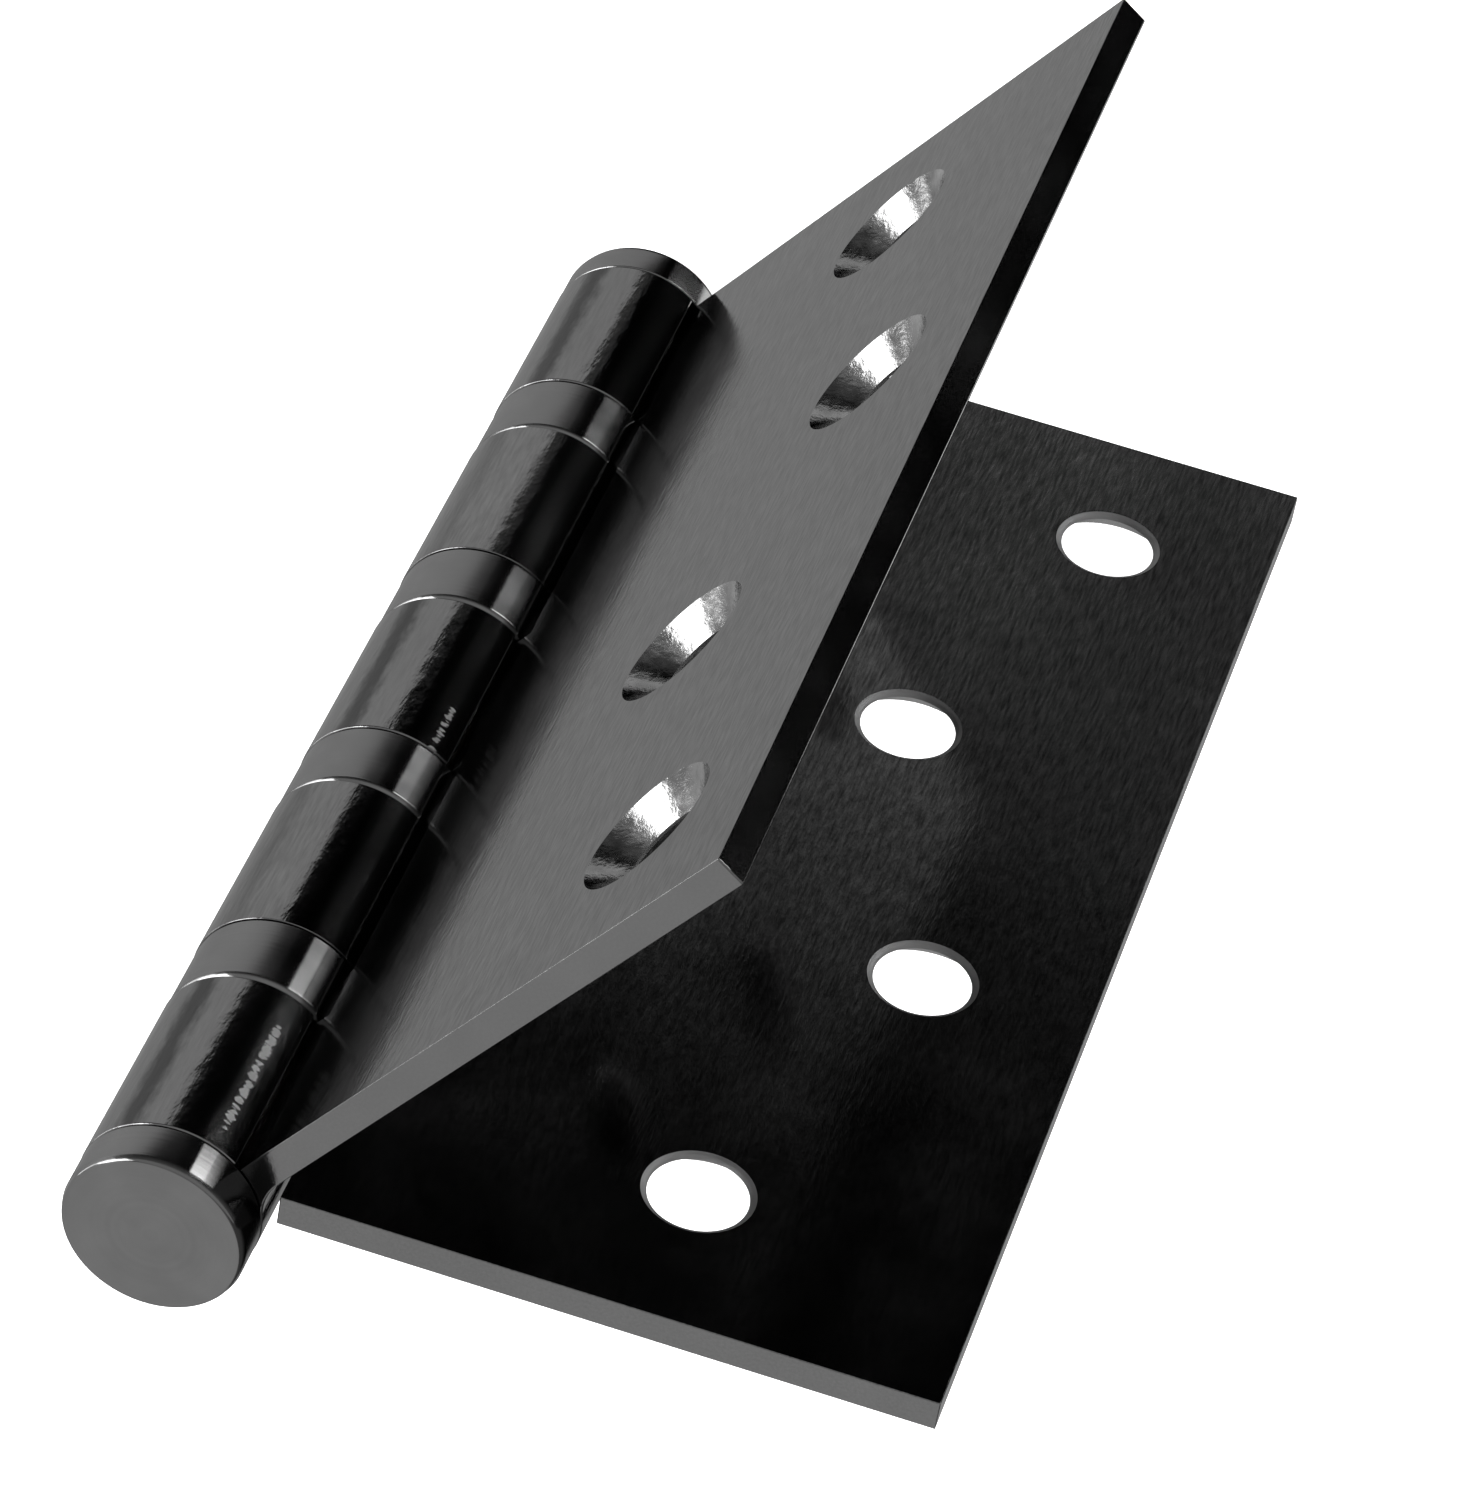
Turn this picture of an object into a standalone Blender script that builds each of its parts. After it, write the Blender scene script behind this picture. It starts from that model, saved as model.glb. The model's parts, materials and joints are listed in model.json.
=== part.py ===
"""Five-knuckle butt hinge with a ball bearing in each gap between the knuckles.

The origin is the middle of the jamb leaf's back face.  +Z runs up along the pin, -Y is the
way the jamb leaf's countersunk face looks, and the pin lies on the +X side of the origin.
The door leaf is folded back past flat, so that the two back faces look at each other.
"""
import math

import bmesh
import bpy
from mathutils import Matrix, Vector

MM = 0.001

# Leaves: one gauge of strip, curled round the pin at one edge.
LEAF_HEIGHT = 114.3 * MM
LEAF_REACH = 57.15 * MM  # pin axis to free edge
GAUGE = 2.55 * MM
FRONT_OFFSET = 1.0 * MM  # pin axis to the plane of the front face
BACK_OFFSET = FRONT_OFFSET + GAUGE
BARREL_R = 7.0 * MM
BORE_R = BARREL_R - GAUGE
SWAGE_R = 5.0 * MM  # hollow between the barrel and the back face
SEAM = 0.5 * MM  # between the curl's end and the front face
NOTCH_REACH = 8.0 * MM  # pin axis to the bottom of a notch
REST_ANGLE = math.radians(54.0)  # between the two leaves' back faces

# Knuckles and the bearings between them, from the top down.
KNUCKLES = 5
KNUCKLE_HEIGHT = 17.3 * MM
BEARING_SPACE = (LEAF_HEIGHT - KNUCKLES * KNUCKLE_HEIGHT) / (KNUCKLES - 1)
PITCH = KNUCKLE_HEIGHT + BEARING_SPACE

# Screw holes: four in each leaf, staggered in two columns.
HOLE_COLUMNS = (44.2 * MM, 35.3 * MM)  # outer and inner, from the pin axis
HOLE_ROWS = (43.7 * MM, 14.2 * MM)  # each way from mid height
HOLE_R = 3.65 * MM
COUNTERSINK_R = 6.0 * MM
COUNTERSINK_DEPTH = 2.0 * MM
HOLE_RIM = 0.4 * MM  # broken edge where a hole leaves the back face

# Pin and its button tips.
PIN_R = 4.3 * MM
PIN_CHAMFER = 0.4 * MM
TIP_R = 6.95 * MM
TOP_TIP_HEIGHT = 3.9 * MM  # leaf end to the tip's flat
BOTTOM_TIP_HEIGHT = 3.4 * MM
TIP_ROUND = 0.6 * MM
TIP_SOCKET_DEPTH = 2.2 * MM
SPIGOT_R = 4.3 * MM
SPIGOT_LENGTH = 5.5 * MM
FIT_GAP = 0.2 * MM  # between pieces that sit against each other
SHAFT_GAP = 0.15 * MM  # round the pin

# Bearing: a cup that holds two grooved races with a ring of balls between them.
CUP_R = 6.95 * MM
CUP_WALL = 0.55 * MM
CUP_FLOOR = 0.6 * MM
CUP_ROUND = 0.35 * MM
RACE_R = CUP_R - CUP_WALL - 0.15 * MM  # clear of the cup's wall
RACE_BORE_R = PIN_R + 0.18 * MM  # clear of the pin
RACE_HEIGHT = 2.0 * MM
BALLS = 16
BALL_R = 0.8 * MM
BALL_STATIONS = (-0.86, -0.4, 0.4, 0.86)  # points along a ball, in ball radii
BALL_CIRCLE_R = (RACE_R + RACE_BORE_R) / 2
GROOVE_HALF = 0.7 * MM
GROOVE_DEPTH = 0.3 * MM
BEARING_GAP = 0.1 * MM  # between the pieces inside a cup

BARREL_STEPS = 44
HOLE_STEPS = 28
RING_STEPS = 30
OVERSHOOT = 1.0 * MM  # how far a cutter runs past what it cuts

PIN_X = sum(HOLE_COLUMNS) / 2
PIN_Y = -BACK_OFFSET
JAMB_TURN = math.pi
DOOR_TURN = math.pi - REST_ANGLE


def clear_scene():
    for item in list(bpy.data.objects):
        bpy.data.objects.remove(item, do_unlink=True)


def new_collection(name, hidden=False):
    group = bpy.data.collections.new(name)
    bpy.context.scene.collection.children.link(group)
    group.hide_render = hidden
    return group


def metal(name, grey, roughness):
    material = bpy.data.materials.new(name)
    material.use_nodes = True
    shader = material.node_tree.nodes["Principled BSDF"]
    shader.inputs["Base Color"].default_value = (grey, grey, grey, 1.0)
    shader.inputs["Metallic"].default_value = 1.0
    shader.inputs["Roughness"].default_value = roughness
    return material


def add_empty(name, group, turn):
    """An empty on the pin axis, turned to the direction of the leaf that it carries."""
    empty = bpy.data.objects.new(name, None)
    empty.location = (PIN_X, PIN_Y, 0.0)
    empty.rotation_euler = (0.0, 0.0, turn)
    group.objects.link(empty)
    return empty


def add_object(name, mesh, group, parent, location=(0.0, 0.0, 0.0)):
    item = bpy.data.objects.new(name, mesh)
    item.location = location
    item.parent = parent
    group.objects.link(item)
    return item


def add_cutter(name, mesh, group, parent, location=(0.0, 0.0, 0.0)):
    cutter = add_object(name, mesh, group, parent, location)
    cutter.hide_render = True
    cutter.display_type = "WIRE"
    return cutter


def cut(item, cutter):
    boolean = item.modifiers.new(cutter.name, "BOOLEAN")
    boolean.operation = "DIFFERENCE"
    boolean.solver = "EXACT"
    boolean.object = cutter


def finish(item, material):
    """Give a piece its material and smooth round faces."""
    item.data.materials.append(material)
    item.data.shade_smooth()
    item.data.set_sharp_from_angle(angle=math.radians(32))
    return item


def arc(radius, start, end, steps, centre=(0.0, 0.0)):
    """Points on an arc from one angle to another, both ends included."""
    points = []
    for step in range(steps + 1):
        angle = start + (end - start) * step / steps
        points.append((centre[0] + radius * math.cos(angle), centre[1] + radius * math.sin(angle)))
    return points


def leaf_outline():
    """The curled strip's end view: x runs away from the pin, y towards the front face."""
    steps = BARREL_STEPS
    lip = SEAM - FRONT_OFFSET
    bore_start = math.asin(-FRONT_OFFSET / BORE_R)
    bore_end = math.asin(lip / BORE_R) - 2 * math.pi
    curl_end = math.asin(lip / BARREL_R)
    swage_y = -BACK_OFFSET - SWAGE_R
    swage_x = math.sqrt((BARREL_R + SWAGE_R) ** 2 - swage_y ** 2)
    swage_angle = math.atan2(swage_y, swage_x)
    points = [(LEAF_REACH, -BACK_OFFSET), (LEAF_REACH, -FRONT_OFFSET)]
    points += arc(BORE_R, bore_start, bore_end, steps)
    points += arc(BARREL_R, curl_end, swage_angle + 2 * math.pi, steps)
    hollow = arc(SWAGE_R, swage_angle + math.pi, math.pi / 2, 4, (swage_x, swage_y))
    return points + hollow[1:]


def weld(mesh):
    """Join loose caps and turn every face outwards."""
    shape = bmesh.new()
    shape.from_mesh(mesh)
    bmesh.ops.remove_doubles(shape, verts=shape.verts, dist=1e-6)
    bmesh.ops.recalc_face_normals(shape, faces=shape.faces)
    shape.to_mesh(mesh)
    shape.free()


def extruded_mesh(name, points, height):
    """A flat outline, extruded to the full height about z = 0 and welded."""
    curve = bpy.data.curves.new(name, "CURVE")
    curve.dimensions = "2D"
    curve.fill_mode = "BOTH"
    curve.extrude = height / 2
    curve.render_resolution_u = 0
    spline = curve.splines.new("POLY")
    spline.points.add(len(points) - 1)
    for point, (x, y) in zip(spline.points, points):
        point.co = (x, y, 0.0, 1.0)
    spline.use_cyclic_u = True
    guide = bpy.data.objects.new(name + "_outline", curve)
    bpy.context.scene.collection.objects.link(guide)
    graph = bpy.context.evaluated_depsgraph_get()
    mesh = bpy.data.meshes.new_from_object(guide.evaluated_get(graph))
    bpy.data.objects.remove(guide, do_unlink=True)
    weld(mesh)
    mesh.name = name
    return mesh


def turned_mesh(name, profile, steps):
    """A profile of (radius, z) points turned about z; it closes on the axis or on itself."""
    mesh = bpy.data.meshes.new(name)
    shape = bmesh.new()
    on_axis = profile[0][0] == 0.0
    verts = [shape.verts.new((radius, 0.0, z)) for radius, z in profile]
    links = list(zip(verts, verts[1:]))
    if not on_axis:
        links.append((verts[-1], verts[0]))
    edges = [shape.edges.new(link) for link in links]
    bmesh.ops.spin(shape, geom=verts + edges, cent=(0, 0, 0), axis=(0, 0, 1),
                   angle=2 * math.pi, steps=steps, use_merge=True)
    bmesh.ops.remove_doubles(shape, verts=shape.verts, dist=1e-6)
    bmesh.ops.recalc_face_normals(shape, faces=shape.faces)
    shape.to_mesh(mesh)
    shape.free()
    return mesh


def box_mesh(name, low, high):
    mesh = bpy.data.meshes.new(name)
    shape = bmesh.new()
    bmesh.ops.create_cube(shape, size=1.0)
    size = Vector(high) - Vector(low)
    centre = (Vector(high) + Vector(low)) / 2
    bmesh.ops.scale(shape, verts=shape.verts, vec=size)
    bmesh.ops.translate(shape, verts=shape.verts, vec=centre)
    shape.to_mesh(mesh)
    shape.free()
    return mesh


def knuckle_top(index):
    return LEAF_HEIGHT / 2 - index * PITCH


def notch_spans(first_knuckle):
    """The heights (low, high) at which a leaf that owns every second knuckle is cut back."""
    spans = []
    top = LEAF_HEIGHT / 2 + OVERSHOOT
    for index in range(first_knuckle, KNUCKLES, 2):
        spans.append((knuckle_top(index), top))
        top = knuckle_top(index) - KNUCKLE_HEIGHT
    spans.append((-LEAF_HEIGHT / 2 - OVERSHOOT, top))
    return [(low, high) for low, high in spans if high - low > OVERSHOOT * 1.5]


def hole_cutter_mesh(side):
    """A screw hole with its countersink; its axis is y and the front face is at y = 0."""
    back = -GAUGE - OVERSHOOT
    slope = (COUNTERSINK_R - HOLE_R) / COUNTERSINK_DEPTH
    mouth = COUNTERSINK_R + slope * OVERSHOOT
    profile = [(0.0, OVERSHOOT), (mouth, OVERSHOOT), (HOLE_R, -COUNTERSINK_DEPTH),
               (HOLE_R, HOLE_RIM - GAUGE), (HOLE_R + HOLE_RIM + OVERSHOOT, back), (0.0, back)]
    mesh = turned_mesh("hole", profile, HOLE_STEPS)
    mesh.transform(Matrix.Rotation(-side * math.pi / 2, 4, "X"))
    return mesh


def hole_places(first_column):
    """Distance from the pin and height of each screw hole, from the top down."""
    heights = (HOLE_ROWS[0], HOLE_ROWS[1], -HOLE_ROWS[1], -HOLE_ROWS[0])
    return [(HOLE_COLUMNS[(first_column + row) % 2], z) for row, z in enumerate(heights)]


def add_leaf(name, side, first_knuckle, first_column, parent, groups, material):
    """side is 1 where the front face looks to the leaf's own +y, and -1 where to its -y."""
    parts, cutters = groups
    outline = [(x, side * y) for x, y in leaf_outline()]
    leaf = add_object(name, extruded_mesh(name, outline, LEAF_HEIGHT), parts, parent)
    reach = BARREL_R + OVERSHOOT
    for number, (low, high) in enumerate(notch_spans(first_knuckle), start=1):
        notch = box_mesh("notch", (-reach, -reach, low), (NOTCH_REACH, reach, high))
        cut(leaf, add_cutter(f"{name}_notch_{number}", notch, cutters, parent))
    hole = hole_cutter_mesh(side)
    for number, (x, z) in enumerate(hole_places(first_column), start=1):
        place = (x, -side * FRONT_OFFSET, z)
        cut(leaf, add_cutter(f"{name}_hole_{number}", hole, cutters, parent, place))
    return finish(leaf, material)


def add_pin(parent, parts, material):
    top = LEAF_HEIGHT / 2 + TIP_SOCKET_DEPTH
    bottom = -LEAF_HEIGHT / 2 + SPIGOT_LENGTH + 2 * FIT_GAP
    end_r = PIN_R - PIN_CHAMFER
    profile = [(0.0, top), (end_r, top), (PIN_R, top - PIN_CHAMFER),
               (PIN_R, bottom + PIN_CHAMFER), (end_r, bottom), (0.0, bottom)]
    return finish(add_object("pin", turned_mesh("pin", profile, BARREL_STEPS), parts, parent), material)


def tip_dome(end, height):
    """The button's outside from the middle of its flat to its foot, end = leaf end."""
    flat = end + height
    rim = arc(TIP_ROUND, math.pi / 2, 0.0, 3, (TIP_R - TIP_ROUND, flat - TIP_ROUND))
    return [(0.0, flat)] + rim + [(TIP_R, end + FIT_GAP)]


def add_top_tip(parent, parts, material):
    end = LEAF_HEIGHT / 2
    socket = PIN_R + SHAFT_GAP
    roof = end + FIT_GAP + TIP_SOCKET_DEPTH
    profile = tip_dome(end, TOP_TIP_HEIGHT) + [(socket, end + FIT_GAP), (socket, roof), (0.0, roof)]
    mesh = turned_mesh("top_tip", profile, BARREL_STEPS)
    return finish(add_object("top_tip", mesh, parts, parent), material)


def add_bottom_tip(parent, parts, material):
    end = LEAF_HEIGHT / 2
    profile = tip_dome(end, BOTTOM_TIP_HEIGHT)
    profile += [(SPIGOT_R, end + FIT_GAP), (SPIGOT_R, end - SPIGOT_LENGTH),
                (0.0, end - SPIGOT_LENGTH)]
    flipped = [(radius, -z) for radius, z in profile]
    mesh = turned_mesh("bottom_tip", flipped, BARREL_STEPS)
    return finish(add_object("bottom_tip", mesh, parts, parent), material)


def cup_profile():
    """Outside, floor and wall of a bearing's cup; z = 0 is the middle of its height."""
    half = BEARING_SPACE / 2 - FIT_GAP
    inner = CUP_R - CUP_WALL
    centre_r = CUP_R - CUP_ROUND
    top = arc(CUP_ROUND, math.pi / 2, 0.0, 2, (centre_r, half - CUP_ROUND))
    bottom = arc(CUP_ROUND, 0.0, -math.pi / 2, 2, (centre_r, CUP_ROUND - half))
    floor = [(RACE_BORE_R, -half), (RACE_BORE_R, CUP_FLOOR - half), (inner, CUP_FLOOR - half)]
    return top + bottom + floor + [(inner, half)]


def race_profile(face, away):
    """A washer with a groove for the balls; away is 1 or -1, from the groove to the back."""
    back = face + away * RACE_HEIGHT
    groove = [(BALL_CIRCLE_R + GROOVE_HALF, face), (BALL_CIRCLE_R, face + away * GROOVE_DEPTH),
              (BALL_CIRCLE_R - GROOVE_HALF, face)]
    return [(RACE_R, back), (RACE_R, face)] + groove + [(RACE_BORE_R, face), (RACE_BORE_R, back)]


def ball_ring_mesh():
    """A full ring of balls, each joined to the next by a short neck: one closed string."""
    curve = bpy.data.curves.new("ball_ring", "CURVE")
    curve.dimensions = "3D"
    curve.bevel_depth = BALL_R
    curve.bevel_resolution = 1
    curve.render_resolution_u = 0
    spline = curve.splines.new("POLY")
    spline.points.add(BALLS * len(BALL_STATIONS) - 1)
    number = 0
    for ball in range(BALLS):
        for station in BALL_STATIONS:
            angle = 2 * math.pi * ball / BALLS + math.asin(station * BALL_R / BALL_CIRCLE_R)
            point = spline.points[number]
            point.co = (BALL_CIRCLE_R * math.cos(angle), BALL_CIRCLE_R * math.sin(angle), 0.0, 1.0)
            point.radius = math.sqrt(1.0 - station ** 2)
            number += 1
    spline.use_cyclic_u = True
    guide = bpy.data.objects.new("ball_ring_path", curve)
    bpy.context.scene.collection.objects.link(guide)
    graph = bpy.context.evaluated_depsgraph_get()
    mesh = bpy.data.meshes.new_from_object(guide.evaluated_get(graph))
    bpy.data.objects.remove(guide, do_unlink=True)
    weld(mesh)
    mesh.name = "ball_ring"
    return mesh


def add_bearing(index, upper, lower, parts, materials):
    """Bearing under knuckle index: its cup rides on the knuckle below, a race on each side."""
    middle = knuckle_top(index) - KNUCKLE_HEIGHT - BEARING_SPACE / 2
    floor = CUP_FLOOR - BEARING_SPACE / 2 + FIT_GAP
    low_face = floor + BEARING_GAP + RACE_HEIGHT
    ball_z = low_face + BALL_R
    high_face = ball_z + (ball_z - low_face)
    name = f"bearing_{index + 1}"
    polished, bright = materials
    place = (0.0, 0.0, middle)
    cup = turned_mesh(name + "_cup", cup_profile(), RING_STEPS)
    low_race = turned_mesh(name + "_lower_race", race_profile(low_face, -1), RING_STEPS)
    high_race = turned_mesh(name + "_upper_race", race_profile(high_face, 1), RING_STEPS)
    finish(add_object(name + "_cup", cup, parts, lower, place), polished)
    finish(add_object(name + "_lower_race", low_race, parts, lower, place), bright)
    finish(add_object(name + "_upper_race", high_race, parts, upper, place), bright)
    ball_ring = add_object(name + "_ball_ring", ball_ring_mesh(), parts, upper,
                           (0.0, 0.0, middle + ball_z))
    finish(ball_ring, bright)


def build():
    clear_scene()
    parts = new_collection("door_hinge")
    cutters = new_collection("cutters", hidden=True)
    jamb_side = add_empty("jamb_side", parts, JAMB_TURN)
    door_side = add_empty("door_side", parts, DOOR_TURN)
    pin_lift = add_empty("pin_lift", parts, JAMB_TURN)
    leaf_metal = metal("blackened_steel", 0.14, 0.34)
    polished = metal("polished_black_steel", 0.13, 0.16)
    bright = metal("bearing_steel", 0.55, 0.2)
    groups = (parts, cutters)
    add_leaf("jamb_leaf", 1, 0, 0, jamb_side, groups, leaf_metal)
    add_leaf("door_leaf", -1, 1, 1, door_side, groups, leaf_metal)
    add_pin(pin_lift, parts, bright)
    add_top_tip(pin_lift, parts, leaf_metal)
    add_bottom_tip(jamb_side, parts, leaf_metal)
    for index in range(KNUCKLES - 1):
        sides = (jamb_side, door_side) if index % 2 == 0 else (door_side, jamb_side)
        add_bearing(index, sides[0], sides[1], parts, (polished, bright))


build()
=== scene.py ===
"""Looks of a five-knuckle ball-bearing door hinge in blackened steel, around its CAD frame.

The leaves, the button tips and the bearing cups are built again here with fine round faces
and broken edges.  The pin, the races and the balls keep their CAD shape.  Lengths are metres.
"""
import json
import math

import bmesh
import bpy
from mathutils import Matrix, Vector

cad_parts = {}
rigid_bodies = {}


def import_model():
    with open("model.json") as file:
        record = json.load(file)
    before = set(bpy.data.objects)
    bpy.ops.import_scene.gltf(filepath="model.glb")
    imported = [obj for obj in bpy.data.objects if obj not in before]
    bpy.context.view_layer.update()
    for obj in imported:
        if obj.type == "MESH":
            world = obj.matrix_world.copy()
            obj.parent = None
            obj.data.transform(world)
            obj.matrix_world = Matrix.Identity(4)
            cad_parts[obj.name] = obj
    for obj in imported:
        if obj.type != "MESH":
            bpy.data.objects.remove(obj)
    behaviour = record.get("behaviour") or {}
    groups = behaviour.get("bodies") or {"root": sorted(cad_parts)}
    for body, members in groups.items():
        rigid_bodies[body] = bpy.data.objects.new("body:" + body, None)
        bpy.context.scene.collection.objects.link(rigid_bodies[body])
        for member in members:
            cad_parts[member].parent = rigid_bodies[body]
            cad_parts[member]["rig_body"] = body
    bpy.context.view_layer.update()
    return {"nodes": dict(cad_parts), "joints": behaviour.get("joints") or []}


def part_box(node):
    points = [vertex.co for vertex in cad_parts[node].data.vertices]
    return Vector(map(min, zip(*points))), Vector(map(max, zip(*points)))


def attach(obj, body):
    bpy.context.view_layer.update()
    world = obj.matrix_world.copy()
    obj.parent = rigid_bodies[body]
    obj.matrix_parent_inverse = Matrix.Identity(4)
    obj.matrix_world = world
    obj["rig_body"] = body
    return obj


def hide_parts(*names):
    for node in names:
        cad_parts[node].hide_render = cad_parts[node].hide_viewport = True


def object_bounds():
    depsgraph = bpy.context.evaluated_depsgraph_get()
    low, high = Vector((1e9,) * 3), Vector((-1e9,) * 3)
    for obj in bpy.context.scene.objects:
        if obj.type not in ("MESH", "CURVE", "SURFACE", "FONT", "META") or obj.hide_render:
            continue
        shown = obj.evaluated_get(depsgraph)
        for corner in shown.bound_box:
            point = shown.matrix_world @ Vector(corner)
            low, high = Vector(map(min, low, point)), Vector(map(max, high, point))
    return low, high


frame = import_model()

MM = 0.001

# Places read from the frame.
HINGE_JOINT = next(joint for joint in frame["joints"] if joint["name"] == "leaf_hinge")
PIN_X, PIN_Y, _ = HINGE_JOINT["pos_m"]
LEAF_LOW, LEAF_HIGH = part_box("jamb_leaf")
LEAF_TOP = LEAF_HIGH.z
LEAF_REACH = PIN_X - LEAF_LOW.x
BARREL_R = LEAF_HIGH.x - PIN_X
TOP_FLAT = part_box("top_tip")[1].z
BOTTOM_FLAT = -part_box("bottom_tip")[0].z
TIP_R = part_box("top_tip")[1].x - PIN_X
CUP_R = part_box("bearing_1_cup")[1].x - PIN_X

# The leaves' section and holes, as in the part.
GAUGE = 2.55 * MM
FRONT_OFFSET = 1.0 * MM
BACK_OFFSET = FRONT_OFFSET + GAUGE
BORE_R = BARREL_R - GAUGE
SWAGE_R = 5.0 * MM
SEAM = 0.5 * MM
NOTCH_REACH = 8.0 * MM
KNUCKLES = 5
KNUCKLE_HEIGHT = 17.3 * MM
PITCH = (2 * LEAF_TOP - KNUCKLE_HEIGHT) / (KNUCKLES - 1)
HOLE_COLUMNS = (44.2 * MM, 35.3 * MM)
HOLE_ROWS = (43.7 * MM, 14.2 * MM)
HOLE_R = 3.65 * MM
COUNTERSINK_R = 6.0 * MM
JAMB_TURN = math.pi
DOOR_TURN = math.radians(126.0)

# Rounds and gaps.
EDGE_ROUND = 0.42 * MM
HOLE_RIM_ROUND = 0.75 * MM
HOLE_RIM_START = math.radians(211.0)  # where the countersink runs into the round back rim
HOLE_RIM_END = math.radians(258.0)
TIP_ROUND = 0.3 * MM
TIP_TAPER = 0.12 * MM  # how far the side leans in below the round
TIP_TAPER_HEIGHT = 0.35 * MM
TIP_FOOT_ROUND = 0.15 * MM
CUP_ROUND = 0.65 * MM
CUP_FOOT_ROUND = 0.15 * MM
CLEAR_OF_HOLE = 0.12 * MM  # edges within this of a countersink aren't rounded
SEAT_GAP = 0.06 * MM

# Tips and cups.
SOCKET_R = 4.45 * MM
SOCKET_DEPTH = 2.4 * MM
SPIGOT_R = 4.3 * MM
SPIGOT_LENGTH = 5.5 * MM
CUP_WALL = 0.55 * MM
CUP_FLOOR = 0.6 * MM
CUP_BORE_R = 4.48 * MM

BARREL_STEPS = 160
TURN_STEPS = 128
HOLE_STEPS = 96
BEVEL_STEPS = 4
OVERSHOOT = 1.0 * MM  # how far a cutter reaches past what it cuts
TINY = 0.001 * MM
SHARP = math.radians(33.0)  # edges that turn more than this stay crisp
LEVEL = 0.995  # a face whose normal has this much of one axis is square to it


# ---------------------------------------------------------------- shapes

def arc(radius, start, end, steps, centre=(0.0, 0.0)):
    """Points on an arc from one angle to another, both ends included."""
    points = []
    for step in range(steps + 1):
        angle = start + (end - start) * step / steps
        points.append((centre[0] + radius * math.cos(angle), centre[1] + radius * math.sin(angle)))
    return points


def leaf_outline():
    """The curled strip's end view: x runs away from the pin, y towards the front face."""
    lip = SEAM - FRONT_OFFSET
    bore_start = math.asin(-FRONT_OFFSET / BORE_R)
    bore_end = math.asin(lip / BORE_R) - 2 * math.pi
    curl_end = math.asin(lip / BARREL_R)
    swage_y = -BACK_OFFSET - SWAGE_R
    swage_x = math.sqrt((BARREL_R + SWAGE_R) ** 2 - swage_y ** 2)
    swage_angle = math.atan2(swage_y, swage_x)
    points = [(LEAF_REACH, -BACK_OFFSET), (LEAF_REACH, -FRONT_OFFSET)]
    points += arc(BORE_R, bore_start, bore_end, BARREL_STEPS)
    points += arc(BARREL_R, curl_end, swage_angle + 2 * math.pi, BARREL_STEPS)
    hollow = arc(SWAGE_R, swage_angle + math.pi, math.pi / 2, 12, (swage_x, swage_y))
    return points + hollow[1:]


def prism(name, points, low, high):
    """A flat outline in x and y, extruded from one height to another."""
    mesh = bpy.data.meshes.new(name)
    shape = bmesh.new()
    cap = shape.faces.new([shape.verts.new((x, y, low)) for x, y in points])
    extruded = bmesh.ops.extrude_face_region(shape, geom=[cap])["geom"]
    moved = [item for item in extruded if isinstance(item, bmesh.types.BMVert)]
    bmesh.ops.translate(shape, verts=moved, vec=(0.0, 0.0, high - low))
    bmesh.ops.recalc_face_normals(shape, faces=shape.faces)
    shape.to_mesh(mesh)
    shape.free()
    return mesh


def turned(name, profile, steps):
    """A profile of (radius, z) points turned about z; it closes on the axis or on itself."""
    mesh = bpy.data.meshes.new(name)
    shape = bmesh.new()
    verts = [shape.verts.new((radius, 0.0, z)) for radius, z in profile]
    links = list(zip(verts, verts[1:]))
    if profile[0][0] > 0.0:
        links.append((verts[-1], verts[0]))
    edges = [shape.edges.new(link) for link in links]
    bmesh.ops.spin(shape, geom=verts + edges, cent=(0, 0, 0), axis=(0, 0, 1),
                   angle=2 * math.pi, steps=steps, use_merge=True)
    bmesh.ops.remove_doubles(shape, verts=shape.verts, dist=1e-7)
    bmesh.ops.recalc_face_normals(shape, faces=shape.faces)
    shape.to_mesh(mesh)
    shape.free()
    return mesh


def box(name, low, high):
    """A block between two corners."""
    corners = [(low[0], low[1]), (high[0], low[1]), (high[0], high[1]), (low[0], high[1])]
    return prism(name, corners, low[2], high[2])


def add_object(name, mesh, turn=0.0, z=0.0):
    """A mesh made round the pin axis, put in its place and turned about that axis."""
    mesh.transform(Matrix.Translation((PIN_X, PIN_Y, z)) @ Matrix.Rotation(turn, 4, "Z"))
    item = bpy.data.objects.new(name, mesh)
    bpy.context.scene.collection.objects.link(item)
    return item


def cut_away(mesh, cutters):
    """The mesh with the cutters' meshes, each at its place, cut out of it."""
    item = bpy.data.objects.new("blank", mesh)
    bpy.context.scene.collection.objects.link(item)
    tools = [item]
    for cutter, place in cutters:
        tool = bpy.data.objects.new("cutter", cutter)
        bpy.context.scene.collection.objects.link(tool)
        tool.matrix_world = Matrix.Translation(place)
        boolean = item.modifiers.new("cut", "BOOLEAN")
        boolean.operation = "DIFFERENCE"
        boolean.solver = "EXACT"
        boolean.object = tool
        tools.append(tool)
    bpy.context.view_layer.update()
    graph = bpy.context.evaluated_depsgraph_get()
    cut = bpy.data.meshes.new_from_object(item.evaluated_get(graph))
    for tool in tools:
        bpy.data.objects.remove(tool, do_unlink=True)
    return cut


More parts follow.
